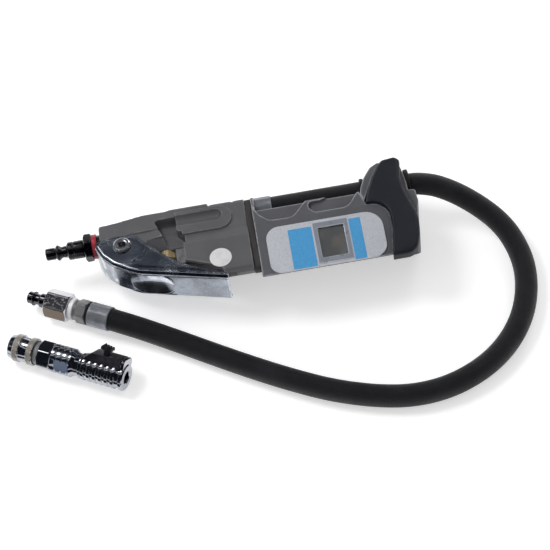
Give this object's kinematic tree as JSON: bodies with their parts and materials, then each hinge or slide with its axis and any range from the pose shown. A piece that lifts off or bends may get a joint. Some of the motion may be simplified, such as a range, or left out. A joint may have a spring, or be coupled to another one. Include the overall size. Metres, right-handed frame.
{
  "type": "tyre inflator with gauge",
  "caption": "Hand-held tyre inflator with squeeze lever, digital gauge window, loose hose with a quick plug, and a separate clip-on valve connector.",
  "frame": {"origin": "on the flat back face of the valve housing, which is the face it lies on, near the seam between the two housings", "axes": "+X from the air inlet towards the hose outlet, +Z out of the display face, -Y the side of the squeeze lever"},
  "size_m": [0.3565, 0.1708, 0.0474],
  "materials": {
    "shell_dark": "matte, fine grain",
    "shell_grey": "satin, fine grain",
    "rubber_black": "matte",
    "rubber_bumper": "matte, slightly blue",
    "steel_black": "blackened",
    "label_silver": "satin metallic film",
    "label_blue": "satin printed",
    "frame_silver": "bright, bevelled",
    "lens": "clear",
    "lcd": "switched off",
    "board": "satin",
    "cell_sleeve": "gloss sleeve",
    "steel_zinc": "zinc plated, satin",
    "brass": "turned",
    "block_grey": "dull",
    "lever_chrome": "polished plating with fine scratches",
    "gunmetal": "dark, polished",
    "ring_red": "satin",
    "hose_rubber": "matte, fine cloth mark",
    "steel_dull": "dull, pitted",
    "steel_bright": "bright turned",
    "chrome": "polished plating",
    "plastic_black": "gloss"
  },
  "bodies": {
    "inflator": {"valve_housing": "shell_dark", "display_housing": "shell_grey", "seam_gasket": "rubber_black", "end_cover": "shell_grey", "end_bumper": "rubber_bumper", "housing_screws": "steel_black", "label_plate": "label_silver", "label_stripes": "label_blue", "window_frame": "frame_silver", "display_lens": "lens", "lcd_screen": "lcd", "circuit_board": "board", "pressure_sensor": "steel_zinc", "battery_cells": "cell_sleeve", "battery_contacts": "steel_zinc", "valve_block": "brass", "valve_gland": "brass", "gland_bracket": "block_grey", "lever_pin": "steel_zinc", "inlet_plug": "gunmetal", "inlet_ring": "ring_red", "hose_tail": "steel_zinc", "tail_ferrule": "steel_zinc", "channel_hose": "hose_rubber", "hose_grommet": "rubber_black", "free_hose": "hose_rubber", "end_ferrule": "steel_zinc", "end_seal": "rubber_black", "end_nut": "steel_dull", "end_collar": "steel_bright", "end_plug": "chrome", "coupler_body": "steel_zinc", "coupler_balls": "steel_bright", "connector_hex": "chrome", "connector_neck": "chrome", "connector_barrel": "chrome", "connector_shell": "plastic_black", "mouth_seal": "rubber_black", "tab_pin": "steel_bright"},
    "lever": {"lever": "lever_chrome"},
    "plunger": {"inflate_plunger": "steel_zinc"},
    "sleeve": {"coupler_sleeve": "chrome"},
    "tab": {"thumb_tab": "plastic_black"}
  },
  "joints": [
    {"name": "lever_hinge", "type": "hinge", "parent": "inflator", "child": "lever", "pos_m": [-0.0754, 0.0092, 0.0267], "axis": [0, 0, 1], "range_deg": [0, 8], "stiffness_Nm_per_rad": 4, "springref_deg": -5.73},
    {"name": "plunger_slide", "type": "slide", "parent": "inflator", "child": "plunger", "axis": [0, 1, 0], "range_m": [0, 0.0047]},
    {"name": "sleeve_slide", "type": "slide", "parent": "inflator", "child": "sleeve", "axis": [0.8805, -0.4741, 0], "range_m": [0, 0.003], "stiffness_N_per_m": 1500, "springref_m": -0.004},
    {"name": "tab_hinge", "type": "hinge", "parent": "inflator", "child": "tab", "pos_m": [-0.09579, -0.05988, 0.01768], "axis": [0.3352, 0.6226, -0.7071], "range_deg": [0, 12], "stiffness_Nm_per_rad": 0.15, "springref_deg": -5.73}
  ],
  "couplings": [
    {"joint": "plunger_slide", "follows": "lever_hinge", "m_per_rad": 0.0334}
  ]
}
